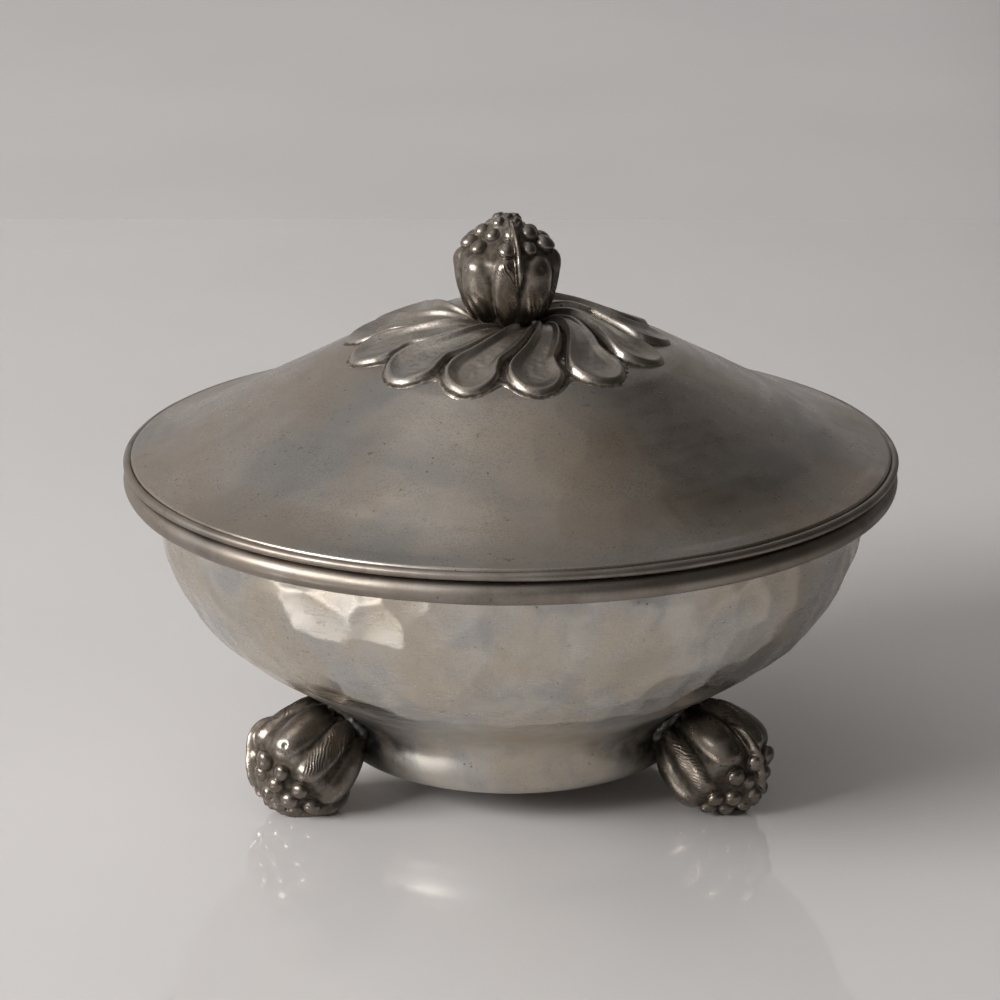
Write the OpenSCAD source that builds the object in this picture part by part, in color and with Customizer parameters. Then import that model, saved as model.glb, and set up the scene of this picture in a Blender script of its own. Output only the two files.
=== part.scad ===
// Covered sugar bowl in pewter: a hammered bowl on three bud feet, with a domed lid that lifts off.
// Millimetres. +Z is up, the origin is on the table under the middle of the bowl, and -Y is the front.

/* [Bowl] */
// Radius of the bowl over its rim wire
rim_r = 70; // [68:0.5:72]
// Height of the top of the rim wire above the table
rim_h = 59.3; // [58:0.1:61]
// Thickness of the spun bowl wall
bowl_wall = 1.3; // [1:0.1:1.6]
// Radius of the rim wire's section
rim_wire_r = 2.2; // [2:0.1:2.4]
// Outer radius of the bowl's wall at the mouth
mouth_r = 64.6; // [64.4:0.1:65]
// Radius at which the hammered sweep meets the base drum
shoulder_r = 41; // [40:0.5:42]
// Height at which the hammered sweep meets the base drum
shoulder_h = 21.1; // [20.5:0.1:21.5]
// Rise of the sweep where it meets the drum, in degrees
shoulder_slope = 31; // [28:1:34]
// Radius of the flat bottom
bottom_r = 24; // [20:1:26]
// Height of the flat bottom above the table
bottom_h = 5.2; // [4.8:0.1:6]

/* [Lid] */
// Gap between the closed lid and the rim wire
seat_gap = 0.25; // [0.2:0.05:0.5]
// Thickness of the lid's sheet
lid_wall = 1.3; // [1:0.1:1.5]
// Radius of the wire soldered round the lid's edge
edge_wire_r = 0.8; // [0.7:0.05:0.9]
// Height of the top of the dome, under the leaf collar
crown_h = 85; // [84:0.5:86]
// Outer radius of the ring that centres the lid in the mouth
bezel_r = 62.4; // [61:0.1:62.6]
// Depth of the centring ring below the lid's edge
bezel_drop = 4.4; // [3:0.1:4.8]

/* [Leaf collar] */
// Number of swirling leaves
leaf_count = 13; // [12:1:16]
// Radius of the collar over the leaf ends
collar_r = 31; // [29:0.5:32]
// Angle by which a leaf's end trails its stem, in degrees
leaf_swirl = 40; // [25:5:50]
// Height of the rolled edge of a leaf above its hollow
leaf_relief = 1.3; // [0.8:0.1:1.6]

/* [Buds] */
// Length of the bud on the lid
bud_length = 20.2; // [19:0.1:21]
// Largest radius of the bud on the lid
bud_r = 9.6; // [9:0.1:10]
// Size of a foot's bud against the lid's
foot_scale = 1.08; // [1.05:0.01:1.1]
// Number of petals round a bud
petal_count = 6; // [5:1:7]
// Radius of a petal's section
petal_r = 3.5; // [3.2:0.1:3.8]
// Radius of the beads above the petals
bead_r = 1.55; // [1.3:0.05:1.7]

/* [Feet] */
// Distance from the bowl's axis to a foot's stalk
foot_root_r = 34.4; // [33.5:0.1:35]
// Height of a foot's stalk above the table
foot_root_h = 16.2; // [15.8:0.1:16.4]
// Angle of a foot's bud below the horizontal
foot_droop = 39; // [36:1:42]
// Radius of a foot's stalk
stalk_r = 3.4; // [3:0.1:3.8]
// Radius of the solder's section in the corner behind a bud
solder_r = 1.5; // [1.2:0.1:1.8]

/* [Lid fixing] */
// Radius of the stud that holds the bud
stud_r = 2; // [1.5:0.1:2.5]
// Outer radius of the washer under the lid
washer_r = 5.5; // [5:0.5:7]
// Thickness of the washer
washer_t = 0.8; // [0.5:0.1:1.2]
// Width of the nut across its flats
nut_flats = 7; // [6:0.5:8]
// Height of the nut
nut_h = 3.2; // [2.5:0.1:4]

/* [Hidden] */
$fn = 96;

pewter_light = [0.66, 0.64, 0.60];
pewter_dark = [0.50, 0.48, 0.45];
pewter_cast = [0.42, 0.40, 0.36];
solder_grey = [0.72, 0.72, 0.70];
brass = [0.72, 0.58, 0.32];

arc_steps = 14;

// A point along the cubic curve with end points a and d and handles b and c
function curve_point(a, b, c, d, t) =
    pow(1 - t, 3) * a + 3 * pow(1 - t, 2) * t * b + 3 * (1 - t) * t * t * c + pow(t, 3) * d;

// Points along that curve, without its last one, so that curves can follow each other
function curve(a, b, c, d, steps = arc_steps) =
    [for (i = [0 : steps - 1]) curve_point(a, b, c, d, i / steps)];

function polar(length, angle) = length * [cos(angle), sin(angle)];

// The unit normal on the left of a polyline at point i
function left_normal(points, i) =
    let (
        before = points[max(i - 1, 0)],
        after = points[min(i + 1, len(points) - 1)],
        along = (after - before) / norm(after - before)
    )
    [-along.y, along.x];

// A polyline moved to its left
function shifted(points, distance) =
    [for (i = [0 : len(points) - 1]) points[i] + distance * left_normal(points, i)];

// Height at radius r on an outline that runs inward
function height_on(points, r, i = 1) =
    i >= len(points) - 1 || points[i].x <= r
        ? points[i - 1].y + (points[i].y - points[i - 1].y)
            * (points[i - 1].x - r) / (points[i - 1].x - points[i].x)
        : height_on(points, r, i + 1);

// ---- bowl ----

rim_wire_z = rim_h - rim_wire_r;
rim_wire_mid_r = rim_r - rim_wire_r;
mouth_top = [mouth_r, rim_h];
wall_top = [mouth_r - 0.1, rim_h - 3.5];
shoulder = [shoulder_r, shoulder_h];
drum_waist = [33.6, 13];
drum_foot = [bottom_r, bottom_h];

// The outside of the bowl, from the rim down to the middle of its bottom
bowl_outside = concat(
    [mouth_top],
    curve(wall_top, wall_top - [1.2, 20.5], shoulder + polar(15.5, shoulder_slope), shoulder),
    curve(shoulder, shoulder - polar(4, shoulder_slope), drum_waist + [0.2, 3], drum_waist, 8),
    curve(drum_waist, drum_waist - [0.3, 5.5], drum_foot + [7.5, 0], drum_foot, 8),
    [drum_foot]
);
bowl_inside = shifted(bowl_outside, -bowl_wall);
bowl_inside_floor = bottom_h + bowl_wall;

module bowl_solid() {
    rotate_extrude()
        polygon(concat([[0, rim_h]], bowl_outside, [[0, bottom_h]]));
}

module bowl_body() {
    color(pewter_light)
        rotate_extrude()
            polygon(concat(
                bowl_outside,
                [[0, bottom_h], [0, bowl_inside_floor]],
                [[bottom_r, bowl_inside_floor]],
                [for (i = [len(bowl_inside) - 2 : -1 : 1]) bowl_inside[i]],
                [[mouth_r - bowl_wall, rim_h]]
            ));
}

// A half-round moulding, soldered round the outside of the mouth
module bowl_rim_wire() {
    color(pewter_light)
        rotate_extrude()
            difference() {
                union() {
                    translate([rim_wire_mid_r, rim_wire_z])
                        circle(r = rim_wire_r);
                    translate([mouth_r, rim_wire_z - rim_wire_r / 2])
                        square([rim_wire_mid_r - mouth_r, rim_wire_r * 3 / 2]);
                }
                square([mouth_r, 2 * rim_h]);
            }
}

// ---- buds ----

// A bud stands on the origin along +Z. Its core is an egg, narrow at the stalk and blunt at the tip.
core_r = 0.8 * bud_r;
core_h = bud_length - 1;
core_middle = [core_r, 0.5 * bud_length];
bud_core = concat(
    curve([0, 0], [0.6 * core_r, 0], [core_r, 0.15 * bud_length], core_middle, 10),
    curve(core_middle, [core_r, 0.75 * bud_length], [0.6 * core_r, core_h], [0, core_h], 10),
    [[0, core_h]]
);

// A petal is a long egg that leans outward against the core
petal_length = 13.5;
petal_foot_r = 3.2;
petal_foot_h = 0.9;
petal_lean = 20;
petal_outline = concat(
    curve([0, 0], [0.6 * petal_r, 0], [petal_r, 0.3 * petal_length], [petal_r, 0.62 * petal_length], 7),
    curve([petal_r, 0.62 * petal_length], [petal_r, 0.86 * petal_length], [0.6 * petal_r, petal_length],
        [0, petal_length], 6),
    [[0, petal_length]]
);
bead_ring_r = 6.4;
bead_ring_h = 15.7;
tip_bead_r = 1.15 * bead_r;
tip_bead_count = 4;
tip_ring_r = 3.1;
tip_ring_h = 18;

module petal() {
    rotate_extrude()
        polygon(petal_outline);
}

module bud() {
    rotate_extrude()
        polygon(bud_core);
    for (i = [0 : petal_count - 1])
        rotate([0, 0, (i + 0.5) * 360 / petal_count])
            translate([petal_foot_r, 0, petal_foot_h])
                rotate([0, petal_lean, 0])
                    petal();
    for (i = [0 : petal_count - 1])
        rotate([0, 0, i * 360 / petal_count])
            translate([bead_ring_r, 0, bead_ring_h])
                sphere(r = bead_r);
    for (i = [0 : tip_bead_count - 1])
        rotate([0, 0, (i + 0.25) * 360 / tip_bead_count])
            translate([tip_ring_r, 0, tip_ring_h])
                sphere(r = tip_bead_r);
    translate([0, 0, bud_length - tip_bead_r])
        sphere(r = tip_bead_r);
}

// ---- feet ----

stalk_length = 3;
solder_run_r = 6.2;
solder_run_h = 1.2;
foot_angles = [-150, -30, 90];
floor_depth = 10;

// Places its children at a foot's stalk, with +Z along the foot's bud
module at_foot(angle) {
    rotate([0, 0, angle])
        translate([foot_root_r, 0, foot_root_h])
            rotate([0, 90 + foot_droop, 0])
                children();
}

// A foot is a bud and its stalk, filed flat where it stands and cut to the side of the bowl
module foot(angle) {
    color(pewter_cast)
        difference() {
            at_foot(angle) {
                scale(foot_scale)
                    bud();
                translate([0, 0, -stalk_length])
                    cylinder(r = stalk_r, h = 2 * stalk_length);
            }
            bowl_solid();
            translate([0, 0, -floor_depth / 2])
                cube([4 * rim_r, 4 * rim_r, floor_depth], center = true);
        }
}

module foot_front_left() {
    foot(foot_angles[0]);
}

module foot_front_right() {
    foot(foot_angles[1]);
}

module foot_rear() {
    foot(foot_angles[2]);
}

// Solder fills the corner between each bud and the side of the bowl
module foot_solder() {
    color(solder_grey)
        for (angle = foot_angles)
            difference() {
                at_foot(angle)
                    rotate_extrude()
                        translate([solder_run_r, solder_run_h])
                            circle(r = solder_r);
                bowl_solid();
                at_foot(angle)
                    scale(foot_scale)
                        rotate_extrude()
                            polygon(bud_core);
            }
}

// ---- lid ----

lid_bottom = rim_h + seat_gap;
edge_wire_z = lid_bottom + edge_wire_r;
lid_edge = [rim_r - 1.75 * edge_wire_r, edge_wire_z + 1.2 * edge_wire_r];
brim_end = [58, 65.1];
crown_start = [31, 79.6];

// The outside of the lid, from its edge up to the axis
lid_outside = concat(
    curve(lid_edge, lid_edge + [-4, 1.1], brim_end + polar(4.5, -25), brim_end, 8),
    curve(brim_end, brim_end + polar(8, 152), crown_start + polar(8, -28), crown_start, 10),
    curve(crown_start, crown_start + polar(9, 157), [11, crown_h], [0, crown_h], 12),
    [[0, crown_h]]
);
lid_inside = shifted(lid_outside, lid_wall);
lid_underside = crown_h - lid_wall;

module lid_dome() {
    color(pewter_dark)
        difference() {
            rotate_extrude()
                polygon(concat(
                    lid_outside,
                    [[0, lid_underside]],
                    [for (i = [len(lid_inside) - 2 : -1 : 0]) lid_inside[i]]
                ));
            cylinder(r = stud_r, h = 2 * crown_h);
        }
}

module lid_edge_wire() {
    color(pewter_dark)
        difference() {
            rotate_extrude()
                translate([rim_r - edge_wire_r, edge_wire_z])
                    circle(r = edge_wire_r);
            rotate_extrude()
                polygon(concat([[0, lid_bottom]], [lid_inside[0] - [0, 0.1]], lid_outside));
        }
}

// The ring that centres the lid in the mouth, soldered up against the dome
module lid_bezel() {
    bezel_inner_r = bezel_r - 1;
    color(pewter_dark)
        rotate_extrude()
            polygon([
                [bezel_inner_r, lid_bottom - bezel_drop],
                [bezel_r, lid_bottom - bezel_drop],
                [bezel_r, height_on(lid_inside, bezel_r)],
                [bezel_inner_r, height_on(lid_inside, bezel_inner_r)]
            ]);
}

// ---- leaf collar ----

leaf_step = 360 / leaf_count;
leaf_rings = 9;
leaf_sides = 8;
leaf_notch = 2.6;
collar_hole_r = 3;
collar_sheet = 0.25;
ridge_h = 3.2;

// How far out a ring lies, from 0 at the hole to 1 at the leaf ends
function ring_radius(share, across) =
    collar_hole_r + share * (collar_r - collar_hole_r - leaf_notch * pow(across, 4));

// The collar swells to a ridge round the bud, and each leaf is hollow between rolled edges
function ridge(share) = ridge_h * (1 - share) * max(0, sin(180 * min(1, share * 1.3 + 0.12)));
function leaf_roll(share, across) =
    leaf_relief * share * (0.35 + 0.9 * pow(across, 2) - 1.25 * pow(across, 8));

function collar_point(ring, side) =
    let (
        share = ring / leaf_rings,
        across = 2 * (side % leaf_sides) / leaf_sides - 1,
        radius = ring_radius(share, across),
        turn = side * leaf_step / leaf_sides + leaf_swirl * pow(share, 1.4),
        height = height_on(lid_outside, radius) + collar_sheet + ridge(share) + leaf_roll(share, across)
    )
    [radius * cos(-turn), radius * sin(-turn), height];

collar_sides = leaf_count * leaf_sides;
collar_under_rings = [leaf_rings, 6, 3, 0];
collar_points = concat(
    [for (ring = [0 : leaf_rings], side = [0 : collar_sides - 1]) collar_point(ring, side)],
    [for (ring = collar_under_rings, side = [0 : collar_sides - 1])
        let (point = collar_point(ring, side), radius = norm([point.x, point.y]))
        [point.x, point.y, height_on(lid_outside, radius)]]
);
collar_loops = leaf_rings + 1 + len(collar_under_rings);

function corner(ring, side) = (ring % collar_loops) * collar_sides + side % collar_sides;

function collar_faces() =
    [for (ring = [0 : collar_loops - 1], side = [0 : collar_sides - 1])
        each [
            [corner(ring, side), corner(ring + 1, side), corner(ring + 1, side + 1)],
            [corner(ring, side), corner(ring + 1, side + 1), corner(ring, side + 1)]
        ]];

module leaf_collar() {
    color(pewter_cast)
        polyhedron(points = collar_points, faces = collar_faces());
}

// ---- lid fixing ----

bud_turn = 20;
thread_in_bud = 6;
thread_below_nut = 1.5;
nut_top_h = height_on(lid_inside, washer_r) - washer_t;
stud_bottom_h = nut_top_h - nut_h - thread_below_nut;
stud_top_h = crown_h + thread_in_bud;

module bud_finial() {
    color(pewter_cast)
        difference() {
            translate([0, 0, crown_h])
                rotate([0, 0, bud_turn])
                    bud();
            cylinder(r = stud_r, h = stud_top_h);
        }
}

module finial_stud() {
    color(brass)
        translate([0, 0, stud_bottom_h])
            cylinder(r = stud_r, h = stud_top_h - stud_bottom_h);
}

module finial_washer() {
    color(brass)
        translate([0, 0, nut_top_h])
            difference() {
                cylinder(r = washer_r, h = washer_t);
                cylinder(r = stud_r, h = 3 * washer_t, center = true);
            }
}

module finial_nut() {
    color(brass)
        translate([0, 0, nut_top_h - nut_h])
            difference() {
                cylinder(r = nut_flats / 2 / cos(30), h = nut_h, $fn = 6);
                cylinder(r = stud_r, h = 3 * nut_h, center = true);
            }
}

bowl_body();
bowl_rim_wire();
foot_front_left();
foot_front_right();
foot_rear();
foot_solder();
lid_dome();
lid_edge_wire();
lid_bezel();
leaf_collar();
bud_finial();
finial_stud();
finial_washer();
finial_nut();
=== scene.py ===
"""The looks of a covered pewter sugar bowl: a hammered bowl on bud feet, and a domed lid with a leaf collar
and a bud on top.

Shapes are worked out in millimetres, in the frame of the CAD model, and turned into metres as each mesh is
made. Each piece's random numbers come from seeds of its own.
"""

import math

import bpy
import numpy as np
from mathutils import Matrix, Vector


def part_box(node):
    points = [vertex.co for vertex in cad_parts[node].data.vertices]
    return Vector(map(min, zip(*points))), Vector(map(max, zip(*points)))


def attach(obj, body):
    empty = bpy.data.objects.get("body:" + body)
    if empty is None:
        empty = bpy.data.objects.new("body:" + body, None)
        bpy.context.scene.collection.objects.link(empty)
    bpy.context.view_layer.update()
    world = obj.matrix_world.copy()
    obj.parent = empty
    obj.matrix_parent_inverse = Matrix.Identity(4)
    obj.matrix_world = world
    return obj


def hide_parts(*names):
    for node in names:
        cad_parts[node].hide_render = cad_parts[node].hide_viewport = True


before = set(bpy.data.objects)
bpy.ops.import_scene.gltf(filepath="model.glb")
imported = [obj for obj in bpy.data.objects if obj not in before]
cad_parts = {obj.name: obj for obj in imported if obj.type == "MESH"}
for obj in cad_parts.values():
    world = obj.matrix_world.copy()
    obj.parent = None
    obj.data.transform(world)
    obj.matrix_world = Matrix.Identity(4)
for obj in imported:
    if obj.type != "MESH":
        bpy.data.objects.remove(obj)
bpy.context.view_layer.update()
MM = 0.001


# ---- driving dimensions, from the CAD nodes ----

def low(node):
    """The lowest corner of a CAD node's box, in millimetres."""
    return np.array(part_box(node)[0]) / MM


def high(node):
    """The highest corner of a CAD node's box, in millimetres."""
    return np.array(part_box(node)[1]) / MM


RIM_R = high("bowl_rim_wire")[0]
RIM_H = high("bowl_rim_wire")[2]
RIM_WIRE_R = (RIM_H - low("bowl_rim_wire")[2]) / 2
MOUTH_R = high("bowl_body")[0]
BOTTOM_H = low("bowl_body")[2]
LID_H = low("lid_edge_wire")[2]
EDGE_WIRE_R = (high("lid_edge_wire")[2] - LID_H) / 2
CROWN_H = high("lid_dome")[2]
BEZEL_R = high("lid_bezel")[0]
BEZEL_H = low("lid_bezel")[2]
NUT_LOW, NUT_HIGH = low("finial_nut"), high("finial_nut")
WASHER_LOW, WASHER_HIGH = low("finial_washer"), high("finial_washer")
STUD_LOW, STUD_HIGH = low("finial_stud"), high("finial_stud")

BOWL_WALL = 1.3
LID_WALL = 1.3
FOOT_SCALE = 1.08
FOOT_ROOT_R, FOOT_ROOT_H = 34.4, 16.2  # where the stalks meet the bowl
FOOT_DROOP = 39  # degrees below level
FOOT_ANGLES = {"foot_front_left": -150, "foot_front_right": -30, "foot_rear": 90}


# ---- outlines, as rows of radius and height ----

def curve(a, b, c, d, count=24):
    """A cubic curve from a to d with handles b and c."""
    t = np.linspace(0, 1, count)[:, None]
    a, b, c, d = (np.array(p, float) for p in (a, b, c, d))
    return (1 - t) ** 3 * a + 3 * (1 - t) ** 2 * t * b + 3 * (1 - t) * t * t * c + t ** 3 * d


def polar(length, degrees):
    """A step of a length in a direction."""
    return length * np.array([math.cos(math.radians(degrees)), math.sin(math.radians(degrees))])


def arc(centre, radius, start, end, count):
    """Points on a circle between two directions in degrees."""
    turn = np.radians(np.linspace(start, end, count))
    return np.array(centre) + radius * np.stack([np.cos(turn), np.sin(turn)], 1)


def distance_along(points):
    """How far along a line each of its points lies."""
    return np.concatenate([[0], np.cumsum(np.linalg.norm(np.diff(points, axis=0), axis=1))])


def evenly(points, spacing, closed=False):
    """The same line with its points a spacing apart."""
    too_near = 1e-6
    points = np.vstack([points, points[:1]]) if closed else np.array(points)
    steps = np.linalg.norm(np.diff(points, axis=0), axis=1)
    points = points[np.concatenate([[True], steps > too_near])]
    along = distance_along(points)
    count = max(3, round(along[-1] / spacing) + 1)
    places = np.linspace(0, along[-1], count)
    even = np.stack([np.interp(places, along, points[:, k]) for k in (0, 1)], 1)
    return even[:-1] if closed else even


def shifted(points, distance):
    """A line moved to its right by a distance."""
    along = np.gradient(points, axis=0)
    along /= np.linalg.norm(along, axis=1)[:, None]
    return points + distance * np.stack([along[:, 1], -along[:, 0]], 1)


SHOULDER = np.array([41, 21.1])
SHOULDER_SLOPE = 31
WAIST = np.array([33.6, 13])
WALL_TOP = np.array([MOUTH_R - 0.1, RIM_H - 3.5])
BOTTOM_EDGE = np.array([24, BOTTOM_H])
BOWL_OUTSIDE = np.vstack([
    [[0, BOTTOM_H]],
    curve(BOTTOM_EDGE, BOTTOM_EDGE + [7.5, 0], WAIST - [0.3, 5.5], WAIST),
    curve(WAIST, WAIST + [0.2, 3], SHOULDER - polar(4, SHOULDER_SLOPE), SHOULDER)[1:],
    curve(SHOULDER, SHOULDER + polar(15.5, SHOULDER_SLOPE), WALL_TOP - [1.2, 20.5], WALL_TOP, 60)[1:],
    [[MOUTH_R, RIM_H]],
])
BRIM_END = np.array([58, 65.1])
CROWN_START = np.array([31, 79.6])
LID_EDGE = np.array([RIM_R - 1.75 * EDGE_WIRE_R, LID_H + 2.2 * EDGE_WIRE_R])
LID_OUTSIDE = np.vstack([
    curve(LID_EDGE, LID_EDGE + [-4, 1.1], BRIM_END + polar(4.5, -25), BRIM_END),
    curve(BRIM_END, BRIM_END + polar(8, 152), CROWN_START + polar(8, -28), CROWN_START)[1:],
    curve(CROWN_START, CROWN_START + polar(9, 157), [11, CROWN_H], [0, CROWN_H])[1:],
])


def bowl_radius(height):
    """Outer radius of the bowl at a height."""
    return np.interp(height, BOWL_OUTSIDE[1:, 1], BOWL_OUTSIDE[1:, 0])


def lid_height(radius):
    """Height of the lid's outside at a radius."""
    return np.interp(radius, LID_OUTSIDE[::-1, 0], LID_OUTSIDE[::-1, 1])


# ---- meshes ----

def smooth_step(value, start, end):
    """0 before start, 1 after end, and a smooth rise between."""
    t = np.clip((value - start) / (end - start), 0, 1)
    return t * t * (3 - 2 * t)


def ripple(points, wavelength, seed):
    """Smooth noise of about unit size: a sum of sine waves in directions drawn from a seed."""
    waves = 14
    random = np.random.default_rng(seed)
    total = np.zeros(points.shape[:-1])
    for _ in range(waves):
        direction = random.normal(size=3)
        direction *= 2 * math.pi / wavelength / np.linalg.norm(direction) * random.uniform(0.7, 1.4)
        total += np.sin(points @ direction + random.uniform(0, 2 * math.pi))
    return total / math.sqrt(waves / 2)


def turned(outline, sides):
    """A line turned round the axis: an array of points by outline, side and coordinate."""
    turn = np.arange(sides) * 2 * math.pi / sides
    radius, height = outline[:, :1], outline[:, 1:]
    return np.stack([radius * np.cos(turn), radius * np.sin(turn), height + 0 * turn], -1)


def turned_normals(outline, sides, closed=False):
    """Outward normals of a turned outline that runs anticlockwise round its metal."""
    if closed:
        padded = np.vstack([outline[-1:], outline, outline[:1]])
        along = (padded[2:] - padded[:-2]) / 2
    else:
        along = np.gradient(outline, axis=0)
    along /= np.linalg.norm(along, axis=1)[:, None]
    turn = np.arange(sides) * 2 * math.pi / sides
    outward, upward = along[:, 1:], -along[:, :1]
    return np.stack([outward * np.cos(turn), outward * np.sin(turn), upward + 0 * turn], -1)


def sheet_faces(rows, sides, closed=False):
    """Quads over a grid of points that goes all the way round, and, if closed, back to its first row."""
    row, side = np.meshgrid(np.arange(rows if closed else rows - 1), np.arange(sides), indexing="ij")
    next_row, next_side = (row + 1) % rows, (side + 1) % sides
    corners = [row * sides + side, row * sides + next_side,
               next_row * sides + next_side, next_row * sides + side]
    return np.stack([c.ravel() for c in corners], 1)


def make(name, grid, closed=False, **attributes):
    """A mesh from a grid of points. An open grid is closed by a fan of triangles at each end."""
    rows, sides = grid.shape[:2]
    points = grid.reshape(-1, 3) * MM
    faces = sheet_faces(rows, sides, closed).tolist()
    if not closed:
        last = (rows - 1) * sides
        points = np.vstack([points, points[:sides].mean(0), points[last:].mean(0)])
        first_pole, last_pole = rows * sides, rows * sides + 1
        faces += [[first_pole, (j + 1) % sides, j] for j in range(sides)]
        faces += [[last_pole, last + j, last + (j + 1) % sides] for j in range(sides)]
    mesh = bpy.data.meshes.new(name)
    mesh.from_pydata(points.tolist(), [], faces)
    mesh.shade_smooth()
    for key, values in attributes.items():
        values = values.ravel()
        if not closed:
            values = np.concatenate([values, [values[:sides].mean(), values[-sides:].mean()]])
        mesh.attributes.new(key, "FLOAT", "POINT").data.foreach_set("value", values.astype(np.float32))
    piece = bpy.data.objects.new(name, mesh)
    bpy.context.scene.collection.objects.link(piece)
    return piece


def settle(piece, material, body, slot, *nodes):
    """Gives a piece its material and its body, and hides the CAD nodes it stands for. The slot is not used."""
    piece.data.materials.append(material)
    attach(piece, body)
    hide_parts(*nodes)


# ---- hammered and planished surfaces ----

def hammer_marks(outline, spacing, first, last, seed):
    """Centres of hammer marks in rows along a turned outline, between two distances along it. Each strays from
    its place by about a sixth of the spacing."""
    random = np.random.default_rng(seed)
    along = distance_along(outline)
    centres = []
    for place in np.arange(first, last, spacing):
        radius = np.interp(place, along, outline[:, 0])
        count = round(2 * math.pi * radius / spacing)
        turn = (np.arange(count) + random.uniform(0, 1)) * 2 * math.pi / count
        turn += random.normal(0, 0.16, count) * 2 * math.pi / count
        where = place + random.normal(0, 0.17 * spacing, count)
        radius, height = (np.interp(where, along, outline[:, k]) for k in (0, 1))
        centres.append(np.stack([radius * np.cos(turn), radius * np.sin(turn), height], 1))
    return np.vstack(centres)


def hammered(grid, centres, spacing, depth, seed):
    """How far each point is hammered in: the lowest of the shallow dishes that the marks leave."""
    random = np.random.default_rng(seed)
    sink = depth * random.uniform(0.75, 1.25, len(centres))
    tilt = random.normal(0, depth / spacing, (len(centres), 3))
    curvature = depth / (spacing / 2) ** 2
    softness = depth * 0.06
    reach = 2.2 * spacing
    pushed = np.zeros(grid.shape[:2])
    for i, row in enumerate(grid):
        near = np.abs(centres[:, 2] - row[0, 2]) < reach
        if not near.any():
            continue
        offset = row[:, None] - centres[None, near]
        dish = curvature * (offset ** 2).sum(-1) - sink[near] + (offset * tilt[near]).sum(-1)
        lowest = dish.min(1)
        pushed[i] = lowest - softness * np.log(np.exp(-(dish - lowest[:, None]) / softness).sum(1))
    return np.clip(pushed, -2 * depth, depth)


# ---- bowl ----

def bowl_body(material):
    """The spun shell, hammered outside above its shoulder and more faintly inside."""
    spacing, sides = 0.5, 720
    mark, depth = 7.6, 0.22
    fade, faintness = 18, 0.3
    broken = 0.2
    pole_r = 0.05
    smoke_edge, smoke_heart = 24, 8
    outside = evenly(BOWL_OUTSIDE, spacing)
    lip = np.array([[MOUTH_R - broken, RIM_H], [MOUTH_R - BOWL_WALL + broken, RIM_H]])
    inside = evenly(shifted(BOWL_OUTSIDE[1:], -BOWL_WALL)[:-1][::-1], 2 * spacing)
    inside[0] = [MOUTH_R - BOWL_WALL, RIM_H - broken]
    outline = np.vstack([outside[:-1], [[MOUTH_R, RIM_H - broken]], lip, inside, [[0, BOTTOM_H + BOWL_WALL]]])
    outline[0, 0] = outline[-1, 0] = pole_r
    grid, normals = turned(outline, sides), turned_normals(outline, sides)
    along = distance_along(outline)
    shoulder_at = along[np.argmin(np.linalg.norm(outside - SHOULDER, axis=1))]
    rim_at = along[len(outside) - 1]
    marks = hammer_marks(outline, mark, shoulder_at - 2, rim_at, seed=4)
    dents = hammered(grid, marks, mark, depth, seed=5)
    strength = smooth_step(along, shoulder_at, shoulder_at + fade)
    strength = strength * (1 - smooth_step(along, rim_at - 2.2, rim_at - 1))
    within = np.arange(len(outline)) >= len(outside)
    faint = faintness * smooth_step(outline[:, 0], 30, 45) * (outline[:, 1] < RIM_H - 3)
    strength = np.where(within, faint, strength)
    push = dents * strength[:, None] + 0.02 * ripple(grid, 26, 6)
    grid = grid + push[..., None] * normals
    # Soot from soldering round each foot's joint, laid on darker than soot alone: painted shade where the bowl
    # reflects the feet and the shadow under it.
    smoke = np.zeros(push.shape)
    for angle in FOOT_ANGLES.values():
        joint = placed(np.zeros(3), foot_matrix(angle))
        away = np.linalg.norm((grid - joint) * [1, 1, 1.5], axis=-1) + 1.8 * ripple(grid, 11, 8)
        smoke = np.maximum(smoke, smooth_step(away, smoke_edge, smoke_heart) * ~within[:, None])
    settle(make("bowl_shell", grid, smoke=smoke), material, "bowl", "hammered_pewter", "bowl_body")


def bowl_rim_wire(material):
    """The half-round moulding round the mouth, a little uneven from hand work."""
    spacing, sides = 0.3, 720
    centre = np.array([RIM_R - RIM_WIRE_R, RIM_H - RIM_WIRE_R])
    half_flat = 0.5 * RIM_WIRE_R
    outline = np.vstack([
        [[MOUTH_R + 0.02, centre[1] - half_flat], [MOUTH_R + 0.9, centre[1] - half_flat - 0.15]],
        arc(centre, RIM_WIRE_R, -140, 90, 40),
        [[MOUTH_R + 0.3, RIM_H], [MOUTH_R + 0.02, RIM_H - 0.3]],
    ])
    outline = evenly(outline, spacing, closed=True)
    grid, normals = turned(outline, sides), turned_normals(outline, sides, closed=True)
    outer = smooth_step(outline[:, 0], MOUTH_R + 0.5, MOUTH_R + 2)[:, None]
    grid = grid + (0.035 * ripple(grid, 30, 7) * outer - 0.03 * outer)[..., None] * normals
    settle(make("rim_moulding", grid, True), material, "bowl", "wire_pewter", "bowl_rim_wire")


# ---- buds ----

BUD_MIDDLE = 10
BUD_HALF_WIDTHS = [  # a height above the stalk, and half the bud's width there
    (-0.4, 0.02), (-0.2, 4.2), (1.2, 5.9), (2.8, 7.3), (5.6, 8.7), (8.4, 9.45), (11.3, 9.6),
    (13.9, 9.0), (16, 7.4), (18.1, 5.1), (19.6, 2.9), (20.2, 0.02),
]
BUD_CORE = dict(out=0, height=10.4, lean=0, across=8.2, thick=8.2, along=9.2)
BUD_PETAL = dict(out=5.8, height=8.1, lean=8, across=3.7, thick=3.8, along=6.3)
BUD_LEAF = dict(out=6.1, height=8.1, lean=8, across=2.85, thick=3.35, along=6.6)
BUD_SEAM = dict(out=5.0, height=13.6, lean=-22, across=0.95, thick=4.75, along=6.8)
BUD_BEADS = [  # each ring's height, distance out, number and half size
    (15.4, 6.9, 9, 1.75), (17.4, 4.8, 7, 1.6), (18.7, 2.4, 4, 1.4), (19.2, 0.3, 1, 1.2),
]


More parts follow.
